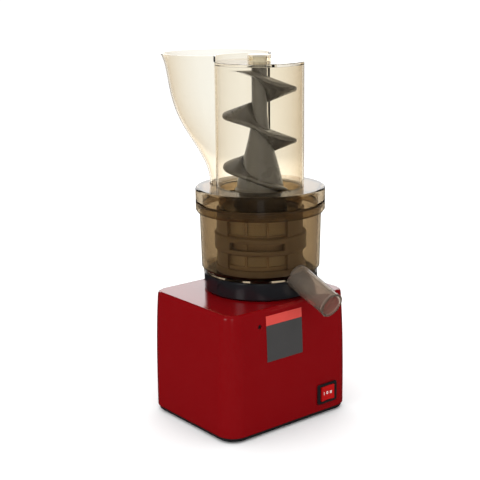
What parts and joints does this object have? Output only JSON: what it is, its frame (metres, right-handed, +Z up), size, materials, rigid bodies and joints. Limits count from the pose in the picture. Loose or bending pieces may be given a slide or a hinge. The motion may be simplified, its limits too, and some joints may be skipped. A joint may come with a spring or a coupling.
{
  "type": "cold press juicer",
  "caption": "Upright cold press juicer with a wide feed tube, scoop hopper, slow auger, rotating brush, juice spout and a motor base with a rocker switch.",
  "frame": {"origin": "plane of the feet, below the middle of the object's outline on the plan", "axes": "+Z up, -Y to the front where the juice spout points, +X to the right seen from the front"},
  "size_m": [0.218, 0.3186, 0.49],
  "materials": {
    "red_gloss": "high gloss red, moulded and lacquered",
    "black_satin": "satin black",
    "black_gloss": "gloss black",
    "rubber_black": "matt",
    "amber_clear": null,
    "clear_smoke": "clear, slightly smoked copolyester",
    "auger_grey": "dark grey glass-filled plastic, satin",
    "frame_brown": "dark brown-grey plastic",
    "silicone_red": "soft silicone",
    "steel": "bright",
    "steel_dark": "dark coated steel",
    "core_steel": "laminated electrical steel",
    "copper": "enamelled copper",
    "brass": "plated brass",
    "alloy": "die cast",
    "gear_white": "acetal",
    "rocker_red": "translucent red"
  },
  "bodies": {
    "base": {"rubber_feet": "rubber_black", "base_plate": "black_satin", "base_screws": "steel_dark", "motor_housing": "red_gloss", "front_screw": "steel_dark", "switch_bezel": "black_satin", "switch_terminals": "brass", "power_inlet": "black_satin", "inlet_pins": "brass", "stator_core": "core_steel", "stator_windings": "copper", "motor_lower_bracket": "alloy", "motor_upper_bracket": "alloy", "motor_bearings": "steel", "motor_bolts": "steel", "gearbox_case": "alloy", "gearbox_cover": "alloy", "gearbox_screws": "steel", "output_bearings": "steel", "drum_seat_collar": "black_gloss", "collar_screws": "steel"},
    "rocker": {"switch_rocker": "rocker_red"},
    "rotor": {"rotor_core": "core_steel", "motor_shaft": "steel", "cooling_fan": "black_satin"},
    "layshaft_set": {"layshaft": "steel", "layshaft_wheel": "gear_white"},
    "drive": {"output_wheel": "steel", "drive_shaft": "steel"},
    "drum": {"juice_drum": "amber_clear", "juice_spout": "clear_smoke", "pulp_chute": "amber_clear", "drum_shaft_seal": "silicone_red", "strainer_frame": "frame_brown", "lower_mesh": "steel", "upper_mesh": "steel", "window_screen": "frame_brown"},
    "brush": {"brush_frame": "frame_brown", "brush_wipers": "silicone_red"},
    "right_idler": {"idler_gear_right": "gear_white"},
    "left_idler": {"idler_gear_left": "gear_white"},
    "auger_body": {"auger": "auger_grey"},
    "lid_set": {"lid": "amber_clear", "lid_gasket": "silicone_red", "feed_tube": "amber_clear", "tube_cap": "amber_clear", "auger_top_bush": "black_satin", "feed_hopper": "amber_clear"}
  },
  "joints": [
    {"name": "rotor_spin", "type": "hinge", "parent": "base", "child": "rotor", "pos_m": [0.01425, -0.01115, 0.066], "axis": [0, 0, 1], "continuous": true},
    {"name": "layshaft_spin", "type": "hinge", "parent": "base", "child": "layshaft_set", "pos_m": [-0.01875, -0.01115, 0.12], "axis": [0, 0, 1], "continuous": true},
    {"name": "drive_spin", "type": "hinge", "parent": "base", "child": "drive", "pos_m": [0.0225, -0.01115, 0.16], "axis": [0, 0, 1], "continuous": true},
    {"name": "rocker_tilt", "type": "hinge", "parent": "base", "child": "rocker", "pos_m": [0.0618, -0.10025, 0.0323], "axis": [0, 0, 1], "range_deg": [-10, 10]},
    {"name": "drum_lift", "type": "slide", "parent": "base", "child": "drum", "axis": [0, 0, 1], "range_m": [0, 0.09]},
    {"name": "lid_lift", "type": "slide", "parent": "drum", "child": "lid_set", "axis": [0, 0, 1], "range_m": [0, 0.22]},
    {"name": "auger_turn", "type": "hinge", "parent": "drum", "child": "auger_body", "pos_m": [0.0225, -0.01115, 0.3], "axis": [0, 0, 1], "continuous": true},
    {"name": "brush_turn", "type": "hinge", "parent": "drum", "child": "brush", "pos_m": [0.0225, -0.01115, 0.24], "axis": [0, 0, 1], "continuous": true},
    {"name": "right_idler_turn", "type": "hinge", "parent": "drum", "child": "right_idler", "pos_m": [0.0615, -0.01115, 0.205], "axis": [0, 0, 1], "continuous": true},
    {"name": "left_idler_turn", "type": "hinge", "parent": "drum", "child": "left_idler", "pos_m": [-0.0165, -0.01115, 0.205], "axis": [0, 0, 1], "continuous": true}
  ],
  "couplings": [
    {"joint": "layshaft_spin", "follows": "rotor_spin", "ratio": -0.22222},
    {"joint": "drive_spin", "follows": "rotor_spin", "ratio": 0.049383},
    {"joint": "auger_turn", "follows": "rotor_spin", "ratio": 0.049383},
    {"joint": "brush_turn", "follows": "rotor_spin", "ratio": -0.021948},
    {"joint": "right_idler_turn", "follows": "rotor_spin", "ratio": -0.079012},
    {"joint": "left_idler_turn", "follows": "rotor_spin", "ratio": -0.079012}
  ]
}
